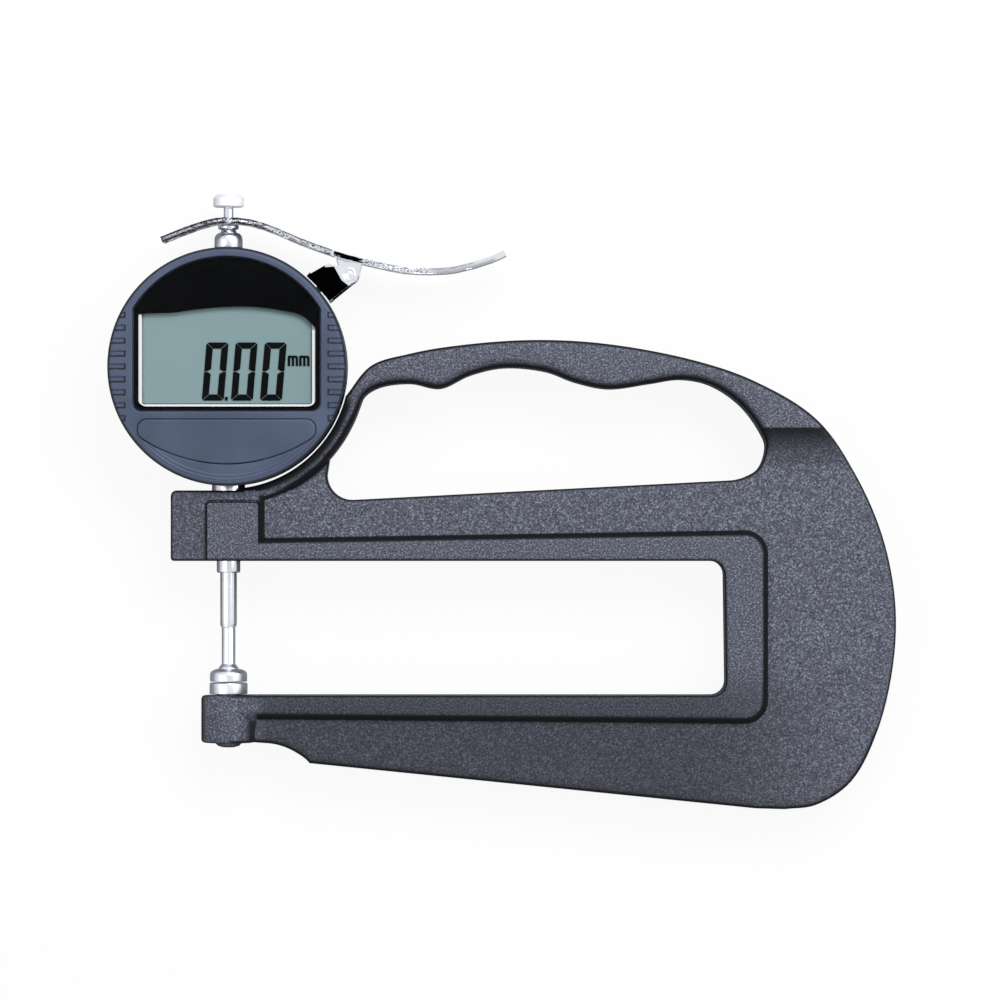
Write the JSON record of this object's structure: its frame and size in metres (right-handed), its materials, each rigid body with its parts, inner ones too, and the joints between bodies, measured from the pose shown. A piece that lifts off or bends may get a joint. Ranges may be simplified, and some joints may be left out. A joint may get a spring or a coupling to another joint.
{
  "type": "digital thickness gauge",
  "caption": "Deep C frame thickness gauge with a hand grip, a round digital indicator, a flat contact over an anvil and a lifting lever.",
  "frame": {"origin": "middle of the bounding box in plan, on the plane of the gauge's flat back", "axes": "+X from the spindle toward the back of the throat, +Y up along the spindle, +Z out of the display"},
  "size_m": [0.19, 0.1484, 0.0199],
  "materials": {
    "coated_casting": "dark grey hammered powder coat",
    "case_plastic": "semi gloss slate blue moulding",
    "key_plastic": "smooth slate blue moulding",
    "chrome": "polished plating",
    "spring_steel": "bright drawn steel",
    "black_steel": "blackened steel",
    "window_plastic": "clear moulded window",
    "black_plastic": "black gloss",
    "white_plastic": "white moulding",
    "display_face": "grey green display glass",
    "board_laminate": "green board laminate",
    "contact_brass": "bright brass",
    "connector_rubber": "striped elastomer"
  },
  "bodies": {
    "frame": {"frame_casting": "coated_casting", "front_housing": "case_plastic", "rear_cover": "case_plastic", "anvil": "chrome", "stem": "chrome", "lower_bush": "chrome", "upper_bush": "chrome", "lever_bracket": "chrome", "pivot_pin": "chrome", "return_spring": "spring_steel", "guide_rail": "spring_steel", "battery": "spring_steel", "key_switch_left": "spring_steel", "key_switch_right": "spring_steel", "stem_clamp_screw": "black_steel", "rear_cover_screw_1": "black_steel", "rear_cover_screw_2": "black_steel", "rear_cover_screw_3": "black_steel", "rear_cover_screw_4": "black_steel", "board_screw_1": "black_steel", "board_screw_2": "black_steel", "bracket_screw_1": "black_steel", "bracket_screw_2": "black_steel", "pivot_clip": "black_steel", "window_lens": "window_plastic", "window_mask": "black_plastic", "display_holder": "white_plastic", "display_glass": "display_face", "circuit_board": "board_laminate", "battery_contact_positive": "contact_brass", "battery_contact_negative": "contact_brass", "display_connector_upper": "connector_rubber", "display_connector_lower": "connector_rubber"},
    "spindle_unit": {"spindle": "chrome", "lift_collar": "chrome", "spindle_cap": "chrome", "contact_point": "chrome", "scale_carrier": "black_plastic", "scale_plate": "board_laminate", "carrier_screw": "black_steel", "guide_pin": "spring_steel"},
    "lever": {"lifting_lever": "chrome"},
    "key": {"key_pad": "key_plastic"},
    "battery_door": {"battery_cover": "case_plastic"}
  },
  "joints": [
    {"name": "spindle_slide", "type": "slide", "parent": "frame", "child": "spindle_unit", "axis": [0, 1, 0], "range_m": [0, 0.01], "stiffness_N_per_m": 60, "springref_m": -0.015, "deforming": ["return_spring"]},
    {"name": "lever_lift", "type": "hinge", "parent": "frame", "child": "lever", "pos_m": [-0.0369, 0.05475, 0.009], "axis": [0, 0, -1], "range_deg": [0, 22.5]},
    {"name": "key_press", "type": "slide", "parent": "frame", "child": "key", "axis": [0, 0, -1], "range_m": [0, 0.0004], "stiffness_N_per_m": 300, "springref_m": -0.001},
    {"name": "battery_cover_turn", "type": "hinge", "parent": "frame", "child": "battery_door", "pos_m": [-0.0663, 0.03255, 0.001], "axis": [0, 0, -1], "range_deg": [0, 45]}
  ],
  "couplings": [
    {"joint": "lever_lift", "follows": "spindle_slide", "rad_per_m": 39.1}
  ]
}
